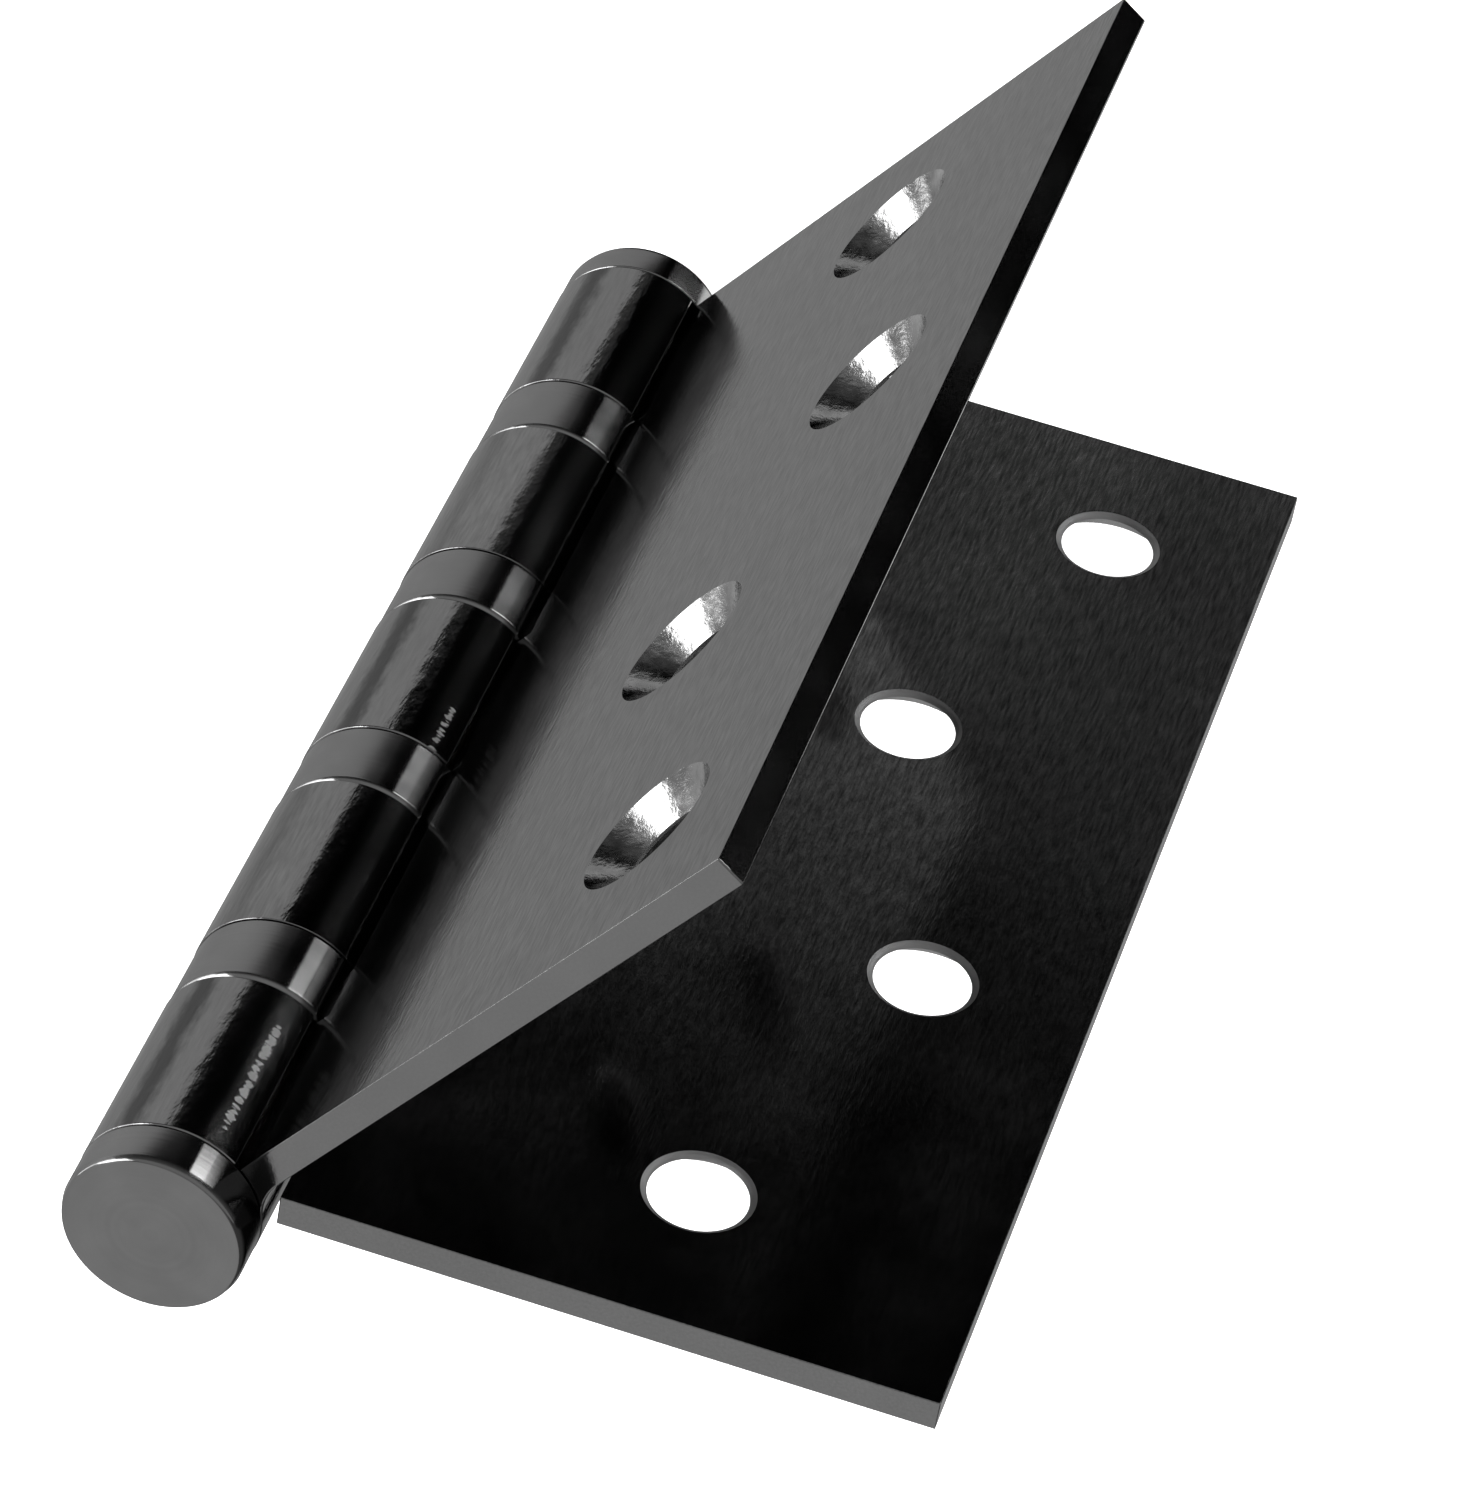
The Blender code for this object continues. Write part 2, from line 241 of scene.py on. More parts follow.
def mark_edges(mesh, hole_axes):
    """Mark a leaf's sharp edges for rounding, but not those inside its screw holes."""
    shape = bmesh.new()
    shape.from_mesh(mesh)
    marks = shape.edges.layers.float.new("bevel_weight_edge")
    for edge in shape.edges:
        middle = (edge.verts[0].co + edge.verts[1].co) / 2
        reach = min(math.hypot(middle.x - x, middle.z - z) for x, z in hole_axes)
        if reach > COUNTERSINK_R + CLEAR_OF_HOLE and edge.calc_face_angle(0.0) > SHARP:
            edge[marks] = 1.0
    shape.to_mesh(mesh)
    shape.free()


def break_edges(item, width):
    """Round an item's marked edges a little, and shade its flat faces flat."""
    item.data.shade_smooth()
    item.data.set_sharp_from_angle(angle=SHARP)
    bevel = item.modifiers.new("broken_edges", "BEVEL")
    bevel.width = width
    bevel.segments = BEVEL_STEPS
    bevel.limit_method = "WEIGHT"
    weight_normals(item)


def weight_normals(item):
    """Large faces keep their own normals, and the small round ones between them blend."""
    weighted = item.modifiers.new("flat_faces", "WEIGHTED_NORMAL")
    weighted.keep_sharp = True
    weighted.weight = 100
    weighted.mode = "FACE_AREA_WITH_ANGLE"


def knuckle_top(index):
    """The height of a knuckle's upper end, counted from the top."""
    return LEAF_TOP - index * PITCH


def notch_spans(first_knuckle):
    """The heights (low, high) at which a leaf that owns every second knuckle is cut back."""
    spans = []
    top = LEAF_TOP + OVERSHOOT
    for index in range(first_knuckle, KNUCKLES, 2):
        spans.append((knuckle_top(index), top))
        top = knuckle_top(index) - KNUCKLE_HEIGHT
    spans.append((-LEAF_TOP - OVERSHOOT, top))
    return [(low, high) for low, high in spans if high - low > OVERSHOOT * 1.5]


def hole_places(first_column):
    """Distance from the pin and height of each screw hole, from the top down."""
    heights = (HOLE_ROWS[0], HOLE_ROWS[1], -HOLE_ROWS[1], -HOLE_ROWS[0])
    return [(HOLE_COLUMNS[(first_column + row) % 2], z) for row, z in enumerate(heights)]


def hole_cutter(side):
    """A screw hole with its countersink and its round back rim, turned about y."""
    rim = arc(HOLE_RIM_ROUND, HOLE_RIM_START, HOLE_RIM_END, 6,
              (HOLE_R + HOLE_RIM_ROUND, HOLE_RIM_ROUND - GAUGE))
    slope = (COUNTERSINK_R - rim[0][0]) / -rim[0][1]
    profile = [(0.0, OVERSHOOT), (COUNTERSINK_R + slope * OVERSHOOT, OVERSHOOT)]
    profile += rim + [(rim[-1][0] + OVERSHOOT, -GAUGE - OVERSHOOT), (0.0, -GAUGE - OVERSHOOT)]
    mesh = turned("hole", profile, HOLE_STEPS)
    mesh.transform(Matrix.Rotation(-side * math.pi / 2, 4, "X"))
    return mesh


def paint_holes(mesh, side, first_column):
    """Give the countersinks material slot 1 and the holes' rounded back rims slot 2."""
    front = -side * FRONT_OFFSET
    for face in mesh.polygons:
        depth = side * (front - face.center.y)
        if abs(face.normal.y) > LEVEL or not 0.0 < depth < GAUGE:
            continue
        for x, z in hole_places(first_column):
            if math.hypot(face.center.x - x, face.center.z - z) < COUNTERSINK_R:
                face.material_index = 1 if depth < GAUGE - HOLE_RIM_ROUND else 2


def add_leaf(node, turn, side, first_knuckle, first_column, finishes):
    """A leaf curled round the pin, with its notches and holes, in its node's place."""
    outline = [(x, side * y) for x, y in leaf_outline()]
    reach = BARREL_R + OVERSHOOT
    cutters = []
    for low, high in notch_spans(first_knuckle):
        cutters.append((box("notch", (-reach, -reach, low), (NOTCH_REACH, reach, high)), (0, 0, 0)))
    for x, z in hole_places(first_column):
        cutters.append((hole_cutter(side), (x, -side * FRONT_OFFSET, z)))
    mesh = cut_away(prism(node, outline, -LEAF_TOP, LEAF_TOP), cutters)
    mesh.materials.clear()
    for finish in finishes:
        mesh.materials.append(finish)
    paint_holes(mesh, side, first_column)
    mark_edges(mesh, hole_places(first_column))
    leaf = add_object(node + "_curled", mesh, turn)
    break_edges(leaf, EDGE_ROUND)
    return keep(leaf, node, node)


def keep(item, body, node):
    """Let item ride on its body and stand for its CAD node."""
    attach(item, body)
    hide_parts(node)
    return item


def tip_profile(flat):
    """A button's outside, from the middle of its flat, at the height flat, to its foot."""
    shoulder = TIP_R - TIP_TAPER
    lean = math.atan2(TIP_TAPER, TIP_TAPER_HEIGHT)
    rim = arc(TIP_ROUND, math.pi / 2, lean, 6, (shoulder - TIP_ROUND, flat - TIP_ROUND))
    rim.append((TIP_R, flat - TIP_ROUND - TIP_TAPER_HEIGHT))
    foot = arc(TIP_FOOT_ROUND, 0.0, -math.pi / 2, 3,
               (TIP_R - TIP_FOOT_ROUND, LEAF_TOP + SEAT_GAP + TIP_FOOT_ROUND))
    return [(0.0, flat)] + rim + foot


def smooth(item):
    """Round faces smooth, and the straight ones between them true."""
    item.data.shade_smooth()
    item.data.set_sharp_from_angle(angle=SHARP)
    weight_normals(item)
    return item


def finish_tip(tip, flat, finish, faced):
    """A tip's finish, and another one on its flat, which lies at the height flat."""
    tip.data.materials.append(finish)
    tip.data.materials.append(faced)
    for face in tip.data.polygons:
        if abs(face.center.z - flat) < TINY:
            face.material_index = 1


def add_top_tip(finish, faced):
    """The button on the pin's top end, hollow where the pin goes in."""
    foot = LEAF_TOP + SEAT_GAP
    roof = LEAF_TOP + SOCKET_DEPTH
    profile = tip_profile(TOP_FLAT) + [(SOCKET_R, foot), (SOCKET_R, roof), (0.0, roof)]
    tip = smooth(add_object("top_tip_turned", turned("top_tip", profile, TURN_STEPS)))
    finish_tip(tip, TOP_FLAT, finish, faced)
    return keep(tip, "pin", "top_tip")


def add_bottom_tip(finish, faced):
    """The button below the lowest knuckle, with its spigot."""
    foot = LEAF_TOP + SEAT_GAP
    end = LEAF_TOP - SPIGOT_LENGTH
    profile = tip_profile(BOTTOM_FLAT) + [(SPIGOT_R, foot), (SPIGOT_R, end), (0.0, end)]
    mesh = turned("bottom_tip", [(radius, -z) for radius, z in profile], TURN_STEPS)
    tip = smooth(add_object("bottom_tip_turned", mesh))
    finish_tip(tip, -BOTTOM_FLAT, finish, faced)
    return keep(tip, "jamb_leaf", "bottom_tip")


def cup_profile():
    """Outside, floor and wall of a bearing's cup; z = 0 is the middle of its height."""
    half = (PITCH - KNUCKLE_HEIGHT) / 2 - SEAT_GAP
    inner = CUP_R - CUP_WALL
    top = arc(CUP_ROUND, math.pi / 2, 0.0, 8, (CUP_R - CUP_ROUND, half - CUP_ROUND))
    bottom = arc(CUP_FOOT_ROUND, 0.0, -math.pi / 2, 3, (CUP_R - CUP_FOOT_ROUND, CUP_FOOT_ROUND - half))
    floor = [(CUP_BORE_R, -half), (CUP_BORE_R, CUP_FLOOR - half), (inner, CUP_FLOOR - half)]
    return top + bottom + floor + [(inner, half)]


def add_cups(finish):
    """The four bearings' cups."""
    for number in range(1, KNUCKLES):
        node = f"bearing_{number}_cup"
        low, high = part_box(node)
        mesh = turned(node, cup_profile(), TURN_STEPS)
        cup = smooth(add_object(node + "_turned", mesh, z=(low.z + high.z) / 2))
        cup.data.materials.append(finish)
        keep(cup, frame["nodes"][node]["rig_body"], node)


# ---------------------------------------------------------------- materials

LEAF_GREY = 0.118
STEEL_TINT = 0.6  # how much of the grazing reflection the black finish lets through
CUT_TINT = 0.8
NOISE_SPAN = (0.3, 0.7)  # the values that most of a noise lies between

# Grains of each noise, per metre along x, y and z (z runs along the pin).
BRUSHED_FINE = (4200.0, 4200.0, 420.0)
BRUSHED_BROAD = (1500.0, 1500.0, 500.0)
LEAF_CLOUD = (90.0, 90.0, 60.0)
SCRATCHES = (500.0, 500.0, 2600.0)
TURNED_RINGS = (2600.0, 3500.0, 1.0)
TURNED_CLOUD = (300.0, 300.0, 300.0)
TORN = (1500.0, 1500.0, 1500.0)
CUT_CLOUD = (500.0, 500.0, 500.0)

CLOUD_TONE = (0.94, 1.06)
RING_TONE = (0.97, 1.03)
LEAF_ROUGHNESS = (0.085, 0.14)
TURNED_ROUGHNESS = (0.85, 1.15)
BARREL_GRAIN = 0.3  # the brushing on the barrel beside that on the flat
END_GRAIN = 0.15  # the brushing on the sawn ends
END_STEEP = (0.7, 0.95)
BARREL_EDGE = (1.01, 1.03)  # where the barrel runs into the flat, over the barrel's radius
BROAD_DEPTH = 0.009 * MM
FINE_DEPTH = 0.005 * MM
BARREL_DEPTH = 0.02 * MM

# A painted dark reflection streak along each leaf's own knuckles: the base colour is darkened in a band
# at a fixed angle round the pin.
JAMB_PAINTED_STREAK = math.radians(69.0)
DOOR_PAINTED_STREAK = math.radians(132.0)
PAINTED_STREAK_HALF = math.radians(2.0)
PAINTED_STREAK_FADE = math.radians(11.0)

# Scuffs on the jamb leaf's knuckles, as (angle, height, half height).
JAMB_SCUFFS = ((math.radians(12.5), 49.0 * MM, 4.5 * MM), (math.radians(10.0), 6.5 * MM, 2.0 * MM))
SCUFF_FADE = math.radians(9.0)
SCUFF_END = 5.0 * MM
SCUFF_ROUGHNESS = 0.26
SCUFF_SCRATCHES = (0.38, 0.5)
PAINTED_STREAK_WANDER = 0.07  # radians


def add_node(tree, kind, inputs=None, **settings):
    """A shader node with its settings; an input that is a socket is linked."""
    made = tree.nodes.new(kind)
    for name, value in settings.items():
        setattr(made, name, value)
    for name, value in (inputs or {}).items():
        if isinstance(value, bpy.types.NodeSocket):
            tree.links.new(value, made.inputs[name])
        else:
            made.inputs[name].default_value = value
    return made


def scaled_noise(tree, place, scale, detail, roughness=0.5):
    """Noise whose grain is 1 / scale metres along each of the object's own axes."""
    mapping = add_node(tree, "ShaderNodeMapping", {"Vector": place, "Scale": scale})
    noise = add_node(tree, "ShaderNodeTexNoise",
                     {"Vector": mapping.outputs["Vector"], "Scale": 1.0, "Detail": detail,
                      "Roughness": roughness})
    return noise.outputs["Fac"]


def soft_step(tree, value, start, end, low, high):
    """Runs smoothly from low to high as the value goes from start to end."""
    return add_node(tree, "ShaderNodeMapRange",
                    {"Value": value, "From Min": start, "From Max": end, "To Min": low, "To Max": high},
                    interpolation_type="SMOOTHSTEP").outputs["Result"]


def spread(tree, value, low, high, start=NOISE_SPAN[0], end=NOISE_SPAN[1]):
    """Runs straight from low to high as the value goes from start to end."""
    ramp = add_node(tree, "ShaderNodeMapRange",
                    {"Value": value, "From Min": start, "From Max": end, "To Min": low, "To Max": high})
    return ramp.outputs["Result"]


def bump(tree, height, distance, normal=None):
    inputs = {"Height": height, "Strength": 1.0, "Distance": distance}
    if normal:
        inputs["Normal"] = normal
    return add_node(tree, "ShaderNodeBump", inputs).outputs["Normal"]


def product(tree, first, second):
    return add_node(tree, "ShaderNodeMath", {0: first, 1: second}, operation="MULTIPLY").outputs[0]


def total(tree, first, second):
    return add_node(tree, "ShaderNodeMath", {0: first, 1: second}, operation="ADD").outputs[0]


def metal_shader(name, edge_tint):
    """A metal whose grazing reflection is held back, as by a black finish."""
    material = bpy.data.materials.new(name)
    material.use_nodes = True
    tree = material.node_tree
    shader = tree.nodes["Principled BSDF"]
    shader.inputs["Metallic"].default_value = 1.0
    shader.inputs["Specular Tint"].default_value = (edge_tint, edge_tint, edge_tint, 1.0)
    return material, tree, shader


def own_place(tree, turn=0.0):
    """Place measured from the pin, turned to a leaf: x away from the pin axis, z along it."""
    world = add_node(tree, "ShaderNodeTexCoord").outputs["Object"]
    return add_node(tree, "ShaderNodeMapping",
                    {"Vector": world, "Location": (PIN_X, PIN_Y, 0.0), "Rotation": (0.0, 0.0, turn)},
                    vector_type="TEXTURE").outputs["Vector"]


def set_grey(tree, shader, tone):
    colour = add_node(tree, "ShaderNodeCombineColor", {"Red": tone, "Green": tone, "Blue": tone})
    tree.links.new(colour.outputs["Color"], shader.inputs["Base Color"])


def band(tree, value, middle, half, fade):
    """1 within half of the middle, falling to 0 over the fade."""
    away = add_node(tree, "ShaderNodeMath", {0: value, 1: middle}, operation="SUBTRACT").outputs[0]
    away = add_node(tree, "ShaderNodeMath", {0: away}, operation="ABSOLUTE").outputs[0]
    return soft_step(tree, away, half, half + fade, 1.0, 0.0)


def barrel_place(tree, place):
    """The angle round the pin, the height, and 1 on the barrel and 0 on the flat."""
    parts = add_node(tree, "ShaderNodeSeparateXYZ", {"Vector": place})
    across, out = parts.outputs["X"], parts.outputs["Y"]
    turn = add_node(tree, "ShaderNodeMath", {0: out, 1: across}, operation="ARCTAN2").outputs[0]
    flat = add_node(tree, "ShaderNodeCombineXYZ", {"X": across, "Y": out}).outputs["Vector"]
    radius = add_node(tree, "ShaderNodeVectorMath", {0: flat}, operation="LENGTH").outputs["Value"]
    inner, outer = (BARREL_R * edge for edge in BARREL_EDGE)
    return turn, parts.outputs["Z"], soft_step(tree, radius, inner, outer, 1.0, 0.0)


def along_side(tree):
    """1 on the faces that run along the pin, which are brushed, and 0 on the sawn ends."""
    normal = add_node(tree, "ShaderNodeNewGeometry").outputs["True Normal"]
    upward = add_node(tree, "ShaderNodeSeparateXYZ", {"Vector": normal}).outputs["Z"]
    steep = add_node(tree, "ShaderNodeMath", {0: upward}, operation="ABSOLUTE").outputs[0]
    return soft_step(tree, steep, *END_STEEP, 1.0, END_GRAIN)


def scuff_mask(tree, turn, height, scratches, scuffs):
    """1 in the scratches of each scuffed patch (angle, height, half height)."""
    worn = 0.0
    for angle, middle, half in scuffs:
        patch = product(tree, band(tree, turn, angle, 0.0, SCUFF_FADE),
                        band(tree, height, middle, half, SCUFF_END))
        worn = total(tree, patch, worn)
    return soft_step(tree, product(tree, worn, scratches), *SCUFF_SCRATCHES, 0.0, 1.0)


def brushed_steel(name, turn, painted_streak, depth, grain, scuffs=()):
    """Blackened steel, brushed along the pin, with a painted dark reflection streak and scuffs on its
    knuckles.

    depth is the painted streak's tone beside the rest, and grain the brushing's change of grey.
    """
    material, tree, shader = metal_shader(name, STEEL_TINT)
    place = own_place(tree, turn)
    angle, height, on_barrel = barrel_place(tree, place)
    fine = scaled_noise(tree, place, BRUSHED_FINE, 2.0, 0.6)
    broad = scaled_noise(tree, place, BRUSHED_BROAD, 3.0, 0.6)
    cloud = scaled_noise(tree, place, LEAF_CLOUD, 4.0, 0.55)
    scratches = scaled_noise(tree, place, SCRATCHES, 3.0, 0.6)
    # Painted reflection: a darker band of base colour round the knuckles, standing in for a dark
    # reflection band, wandering a little with the broad grain.
    shifted = total(tree, angle, spread(tree, broad, -PAINTED_STREAK_WANDER, PAINTED_STREAK_WANDER, 0.2, 0.8))
    painted_streak_shade = product(tree, band(tree, shifted, painted_streak, PAINTED_STREAK_HALF, PAINTED_STREAK_FADE), on_barrel)
    brushed = product(tree, spread(tree, fine, -grain, grain), along_side(tree))
    brushed = product(tree, brushed, spread(tree, on_barrel, 1.0, BARREL_GRAIN, 0.0, 1.0))
    tone = product(tree, total(tree, brushed, LEAF_GREY), spread(tree, cloud, *CLOUD_TONE))
    set_grey(tree, shader, product(tree, tone, spread(tree, painted_streak_shade, 1.0, depth, 0.0, 1.0)))
    worn = product(tree, scuff_mask(tree, angle, height, scratches, scuffs), on_barrel)
    roughness = total(tree, product(tree, worn, SCUFF_ROUGHNESS), spread(tree, cloud, *LEAF_ROUGHNESS))
    tree.links.new(roughness, shader.inputs["Roughness"])
    relief = bump(tree, broad, BROAD_DEPTH, bump(tree, fine, FINE_DEPTH))
    relief = bump(tree, product(tree, broad, on_barrel), BARREL_DEPTH, relief)
    tree.links.new(relief, shader.inputs["Normal"])
    return material


def ring_place(tree):
    """The pin's own place, and (distance from the pin, height) for marks that run round it."""
    place = own_place(tree)
    parts = add_node(tree, "ShaderNodeSeparateXYZ", {"Vector": place})
    flat = add_node(tree, "ShaderNodeCombineXYZ", {"X": parts.outputs["X"], "Y": parts.outputs["Y"]})
    radius = add_node(tree, "ShaderNodeVectorMath", {0: flat.outputs["Vector"]}, operation="LENGTH")
    across = add_node(tree, "ShaderNodeCombineXYZ",
                      {"X": radius.outputs["Value"], "Y": parts.outputs["Z"]}).outputs["Vector"]
    return place, across


def turned_steel(name, grey, roughness, grooved, marks):
    """Steel with the fine rings that a lathe leaves round the pin axis; grooved from 0 to 1."""
    material, tree, shader = metal_shader(name, STEEL_TINT)
    shader.inputs["Anisotropic"].default_value = grooved
    shader.inputs["Anisotropic Rotation"].default_value = 0.25
    tangent = add_node(tree, "ShaderNodeTangent", direction_type="RADIAL", axis="Z")
    tree.links.new(tangent.outputs["Tangent"], shader.inputs["Tangent"])
    place, across = ring_place(tree)
    rings = scaled_noise(tree, across, TURNED_RINGS, 2.0)
    cloud = scaled_noise(tree, place, TURNED_CLOUD, 4.0)
    clouded = spread(tree, cloud, *(grey * share for share in CLOUD_TONE))
    set_grey(tree, shader, product(tree, clouded, spread(tree, rings, *RING_TONE, 0.25, 0.75)))
    rough = spread(tree, cloud, *(roughness * share for share in TURNED_ROUGHNESS))
    tree.links.new(rough, shader.inputs["Roughness"])
    tree.links.new(bump(tree, rings, marks), shader.inputs["Normal"])
    return material


def cut_steel(name, tone, roughness, depth):
    """The slightly torn surface of a drilled or countersunk hole."""
    material, tree, shader = metal_shader(name, CUT_TINT)
    place = own_place(tree)
    torn = scaled_noise(tree, place, TORN, 4.0, 0.6)
    cloud = scaled_noise(tree, place, CUT_CLOUD, 3.0)
    set_grey(tree, shader, spread(tree, cloud, *tone))
    tree.links.new(spread(tree, cloud, *roughness), shader.inputs["Roughness"])
    tree.links.new(bump(tree, torn, depth), shader.inputs["Normal"])
    return material


# ---------------------------------------------------------------- studio

# The studio.  Azimuths run from the door leaf's direction round the pin and elevations up along
# the pin, both in degrees.  The brightest light in a direction is the one that shows.
BOWL_SIDE = 202.7  # the bowl's near side, on the horizon
BOWL_SLANT = 1.86  # how far that side comes round for each degree down
BOWL_FAR = 290.0
BOWL_ELEVATION = (-66.0, 5.0)
BOWL_FADE = 2.0
BEHIND = (258.6, -49.8)  # straight behind the hinge from the camera, where the bowl darkens
BEHIND_SPAN = (4.0, 40.0)  # degrees from there over which the bowl goes from dim to full
BEHIND_LEVELS = (0.2, 1.25)
WALL_CENTRE = (225.0, 20.0)
WALL_EDGE = (55.0, 65.0)  # degrees from its centre over which the wall ends
WALL_LEVEL = 1.25

# Lamps with straight sides: azimuths, elevations, brightness.
LAMPS = {
    "key": ((137.0, 170.0), (3.0, 42.0), 14.0),
    "key_skirt": ((150.0, 194.0), (-12.0, 3.0), 8.0),
    "strip": ((28.0, 70.0), (-40.3, -33.0), 17.0),
    "rim": ((0.0, 140.0), (-4.0, 80.0), 0.85),
    "cloth_fold": ((92.0, 112.0), (-58.0, -50.0), 0.16),
    "low": ((-15.0, 15.0), (-62.0, -50.0), 5.0),  # lights one leaf by way of the other
}
LAMP_EDGE = 2.0

# Soft light from above, and the room's own: the elevations over which each sets in, brightness.
OVERHEAD = ((45.0, 60.0), 0.45)
ROOM = ((-36.0, -16.0), 0.22)
FIRST_AZIMUTH = -60.0  # azimuths are counted from here, behind all the lamps


def heading(azimuth, elevation):
    """The unit vector at an azimuth and elevation in degrees."""
    turn, tilt = DOOR_TURN + math.radians(azimuth), math.radians(elevation)
    return (math.cos(turn) * math.cos(tilt), math.sin(turn) * math.cos(tilt), math.sin(tilt))


def angle_from(tree, direction, centre):
    """Degrees between each direction of the sky and one centre."""
    dot = add_node(tree, "ShaderNodeVectorMath", {0: direction, 1: heading(*centre)},
                   operation="DOT_PRODUCT").outputs["Value"]
    angle = add_node(tree, "ShaderNodeMath", {0: dot}, operation="ARCCOSINE").outputs[0]
    return product(tree, angle, math.degrees(1.0))


def sky_angles(tree, direction):
    """Azimuth and elevation of each direction of the sky, in degrees."""
    parts = add_node(tree, "ShaderNodeSeparateXYZ", {"Vector": direction})
    turn = add_node(tree, "ShaderNodeMath", {0: parts.outputs["Y"], 1: parts.outputs["X"]},
                    operation="ARCTAN2").outputs[0]
    first = math.radians(FIRST_AZIMUTH)
    turn = add_node(tree, "ShaderNodeMath", {0: turn, 1: DOOR_TURN}, operation="SUBTRACT").outputs[0]
    turn = add_node(tree, "ShaderNodeMath", {0: turn, 1: first, 2: first + 2 * math.pi},
                    operation="WRAP").outputs[0]
    tilt = add_node(tree, "ShaderNodeMath", {0: parts.outputs["Z"]}, operation="ARCSINE").outputs[0]
    return product(tree, turn, math.degrees(1.0)), product(tree, tilt, math.degrees(1.0))


def between(tree, value, span, fade):
    """1 within the span, falling to 0 over the fade at each end."""
    low, high = span
    return band(tree, value, (low + high) / 2, (high - low - fade) / 2, fade)


def panel(tree, angles, sides, heights, level):
    """A light bounded by two azimuths and two elevations."""
    azimuth, elevation = angles
    across = between(tree, azimuth, sides, LAMP_EDGE)
    return product(tree, product(tree, across, between(tree, elevation, heights, LAMP_EDGE)), level)


def bowl(tree, direction, angles):
    """The pale sweep under and beside the hinge, darker straight behind it."""
    azimuth, elevation = angles
    slant = product(tree, elevation, -BOWL_SLANT)
    side = total(tree, azimuth, slant)
    lit = soft_step(tree, side, BOWL_SIDE - BOWL_FADE, BOWL_SIDE + BOWL_FADE, 0.0, 1.0)
    lit = product(tree, lit, soft_step(tree, azimuth, BOWL_FAR, BOWL_FAR + BOWL_FADE, 1.0, 0.0))
    lit = product(tree, lit, between(tree, elevation, BOWL_ELEVATION, BOWL_FADE))
    shade = spread(tree, angle_from(tree, direction, BEHIND), *BEHIND_LEVELS, *BEHIND_SPAN)
    return product(tree, lit, shade)


def brightest(tree, lights):
    """The largest of several values."""
    most = lights[0]
    for light in lights[1:]:
        most = add_node(tree, "ShaderNodeMath", {0: most, 1: light}, operation="MAXIMUM").outputs[0]
    return most


def build_world():
    """A dim studio with a pale bowl, a wall and lamps, which the camera itself sees as white."""
    world = bpy.data.worlds.new("studio")
    bpy.context.scene.world = world
    world.use_nodes = True
    tree = world.node_tree
    direction = add_node(tree, "ShaderNodeTexCoord").outputs["Generated"]
    angles = sky_angles(tree, direction)
    wall = soft_step(tree, angle_from(tree, direction, WALL_CENTRE), *WALL_EDGE, WALL_LEVEL, 0.0)
    lights = [bowl(tree, direction, angles), wall]
    lights += [panel(tree, angles, *lamp) for lamp in LAMPS.values()]
    for span, level in (OVERHEAD, ROOM):
        lights.append(soft_step(tree, angles[1], *span, 0.0, level))
    light = brightest(tree, lights)
    seen = add_node(tree, "ShaderNodeLightPath").outputs["Is Camera Ray"]
    level = add_node(tree, "ShaderNodeMix", {0: seen, 2: light, 3: 1.0}).outputs[0]
    colour = add_node(tree, "ShaderNodeCombineColor", {"Red": level, "Green": level, "Blue": level})
    tree.links.new(colour.outputs["Color"], tree.nodes["Background"].inputs["Color"])
    bpy.context.scene.view_settings.view_transform = "Standard"


FLOOR_HALF = 3.0
FLOOR_DEPTH = 9.0 * MM
FLOOR_GAP = 1.0 * MM
FLOOR_WHITE = 0.9


def add_floor():
    """A white floor that the camera sees and the steel doesn't reflect."""
    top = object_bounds()[0].z - FLOOR_GAP
    corners = (-FLOOR_HALF, -FLOOR_HALF, top - FLOOR_DEPTH), (FLOOR_HALF, FLOOR_HALF, top)
    floor = bpy.data.objects.new("floor", box("floor", *corners))
    bpy.context.scene.collection.objects.link(floor)
    material = bpy.data.materials.new("white_floor")
    material.use_nodes = True
    shader = material.node_tree.nodes["Principled BSDF"]
    shader.inputs["Base Color"].default_value = (FLOOR_WHITE, FLOOR_WHITE, FLOOR_WHITE, 1.0)
    shader.inputs["Emission Color"].default_value = (1.0, 1.0, 1.0, 1.0)
    shader.inputs["Emission Strength"].default_value = 1.0
    floor.data.materials.append(material)
    floor.visible_diffuse = False
    floor.visible_glossy = False
    floor.visible_transmission = False
    floor.visible_shadow = False


# The camera looks down the near end of the barrel, turned nearly upside down.
CAMERA_AIM = Vector((-1.73, 1.98, 27.18)) * MM
CAMERA_DISTANCE = 513.2 * MM
CAMERA_AZIMUTH = math.radians(-65.47)
CAMERA_ELEVATION = math.radians(49.78)
CAMERA_ROLL = math.radians(154.41)
CAMERA_LENS = 172.96
CAMERA_CLIP = (0.01, 20.0)


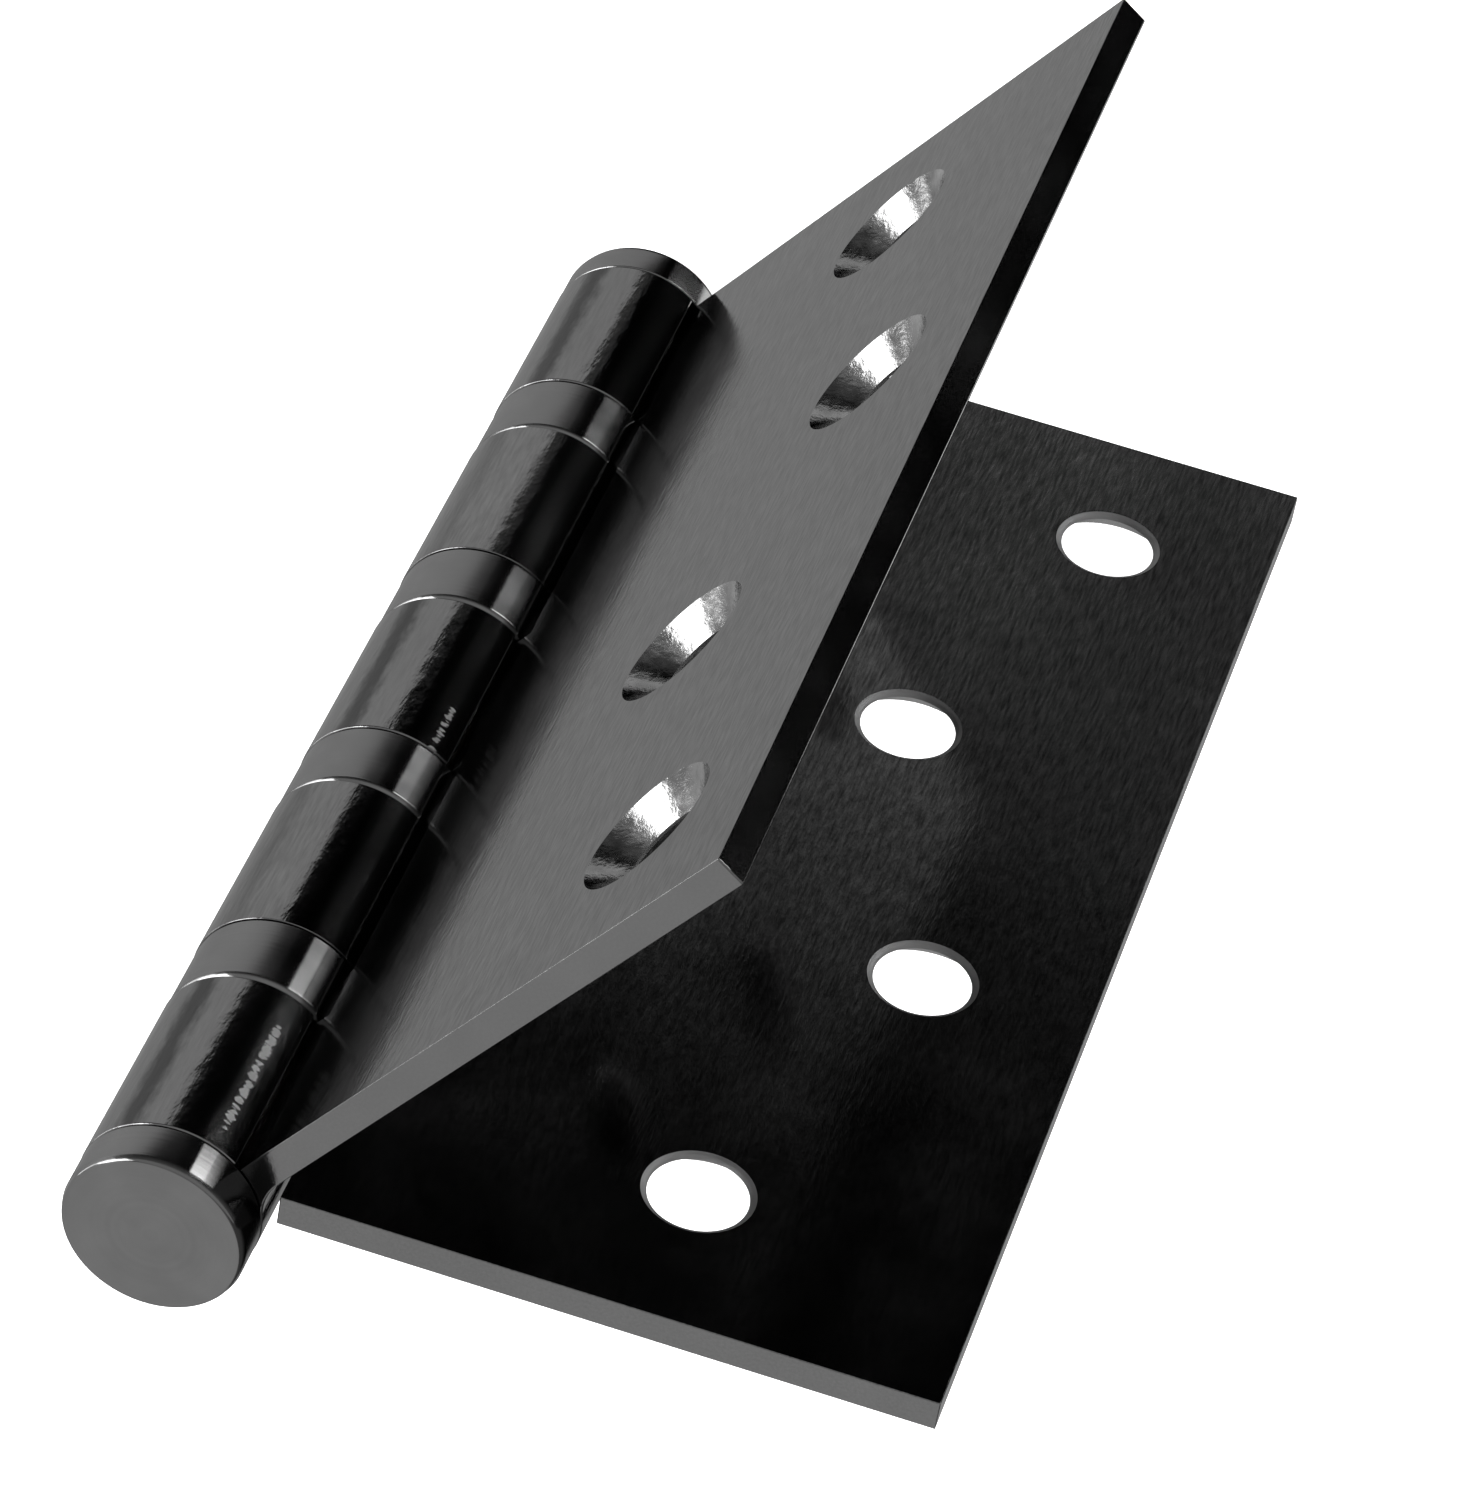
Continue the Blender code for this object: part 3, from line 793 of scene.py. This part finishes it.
def add_camera():
    """A long lens aimed at the middle of the hinge."""
    back = Vector((math.sin(CAMERA_AZIMUTH) * math.cos(CAMERA_ELEVATION),
                   -math.cos(CAMERA_AZIMUTH) * math.cos(CAMERA_ELEVATION),
                   math.sin(CAMERA_ELEVATION)))
    camera = bpy.data.objects.new("camera", bpy.data.cameras.new("camera"))
    bpy.context.scene.collection.objects.link(camera)
    turn = (-back).to_track_quat("-Z", "Y").to_matrix().to_4x4()
    roll = Matrix.Rotation(-CAMERA_ROLL, 4, "Z")
    camera.matrix_world = Matrix.Translation(CAMERA_AIM + back * CAMERA_DISTANCE) @ turn @ roll
    camera.data.lens = CAMERA_LENS
    camera.data.clip_start, camera.data.clip_end = CAMERA_CLIP
    bpy.context.scene.camera = camera


def add_leaves():
    """Both leaves, with their countersinks and hole rims."""
    cut = cut_steel("cut_countersink", tone=(0.09, 0.2), roughness=(0.1, 0.24), depth=0.05 * MM)
    # The holes' back rims take a lighter, rougher copy of the steel: painted sheen, so that they read
    # light grey all round.
    rim = cut_steel("painted_sheen_hole_rim", tone=(0.2, 0.24), roughness=(0.6, 0.65), depth=0.01 * MM)
    # depth sets how dark each leaf's painted reflection streak is.
    jamb = brushed_steel("brushed_jamb_leaf", JAMB_TURN, JAMB_PAINTED_STREAK, depth=0.38, grain=0.03,
                         scuffs=JAMB_SCUFFS)
    door = brushed_steel("brushed_door_leaf", DOOR_TURN, DOOR_PAINTED_STREAK, depth=0.75, grain=0.06)
    add_leaf("jamb_leaf", JAMB_TURN, side=1, first_knuckle=0, first_column=0,
             finishes=(jamb, cut, rim))
    add_leaf("door_leaf", DOOR_TURN, side=-1, first_knuckle=1, first_column=1,
             finishes=(door, cut, rim))


def add_turned_pieces():
    """The two tips and the four cups."""
    side = turned_steel("turned_tip_side", grey=0.12, roughness=0.15, grooved=0.95, marks=0.004 * MM)
    flat = turned_steel("faced_tip", grey=0.12, roughness=0.2, grooved=0.3, marks=0.006 * MM)
    cup = turned_steel("polished_cup", grey=0.12, roughness=0.15, grooved=0.95, marks=0.004 * MM)
    add_top_tip(side, flat)
    add_bottom_tip(side, flat)
    add_cups(cup)


def finish_kept_nodes():
    """The pin, races and balls keep their CAD shape and get ground bright steel."""
    finish = turned_steel("ground_steel", grey=0.5, roughness=0.2, grooved=0.5, marks=0.008 * MM)
    for node in frame["nodes"].values():
        if not node.hide_render:
            node.data.materials.clear()
            node.data.materials.append(finish)


def main():
    add_leaves()
    add_turned_pieces()
    finish_kept_nodes()
    build_world()
    add_floor()
    add_camera()


main()
